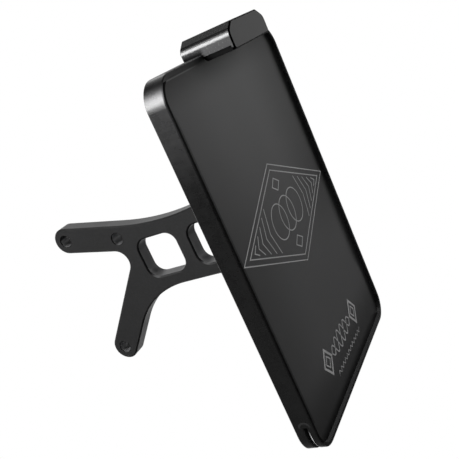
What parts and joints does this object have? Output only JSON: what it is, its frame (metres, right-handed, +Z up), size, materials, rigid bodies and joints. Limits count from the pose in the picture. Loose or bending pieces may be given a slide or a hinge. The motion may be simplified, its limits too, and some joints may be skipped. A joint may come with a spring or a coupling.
{
  "type": "side mount licence plate holder",
  "caption": "Upright tray for a motorbike number plate on a forked side arm with windows and bolt bores, and a small plate light over its top edge.",
  "frame": {"origin": "centre of the bore at the end of the arm's upper branch, in the middle of the arm's thickness", "axes": "+X along the arm's bores, to the right seen from the front; -Y is the way the number plate faces; +Z up, along the tray's length"},
  "size_m": [0.166, 0.1985, 0.2366],
  "materials": {
    "tray_metal": "black anodised, brushed edges",
    "arm_metal": "black anodised, fine blasted",
    "light_metal": "black anodised, satin",
    "frame_plastic": "moulded black",
    "lens_plastic": "clear polycarbonate",
    "seal_rubber": "soft black rubber",
    "screw_steel": "stainless steel",
    "board_laminate": "white solder mask",
    "chip_resin": "yellow resin",
    "resistor_ceramic": "black ceramic"
  },
  "bodies": {
    "root": {"plate_tray": "tray_metal", "arm_bracket": "arm_metal", "arm_foot": "arm_metal", "arm_foot_screws": "screw_steel", "foot_tray_screws": "screw_steel", "foot_tray_washers": "screw_steel", "light_housing": "light_metal", "light_housing_screws": "screw_steel", "lens_frame": "frame_plastic", "lens_frame_screws": "screw_steel", "light_lens": "lens_plastic", "lens_gasket": "seal_rubber", "led_board": "board_laminate", "led_chips": "chip_resin", "board_resistors": "resistor_ceramic", "board_screws": "screw_steel", "cable_grommet": "seal_rubber"}
  },
  "joints": []
}
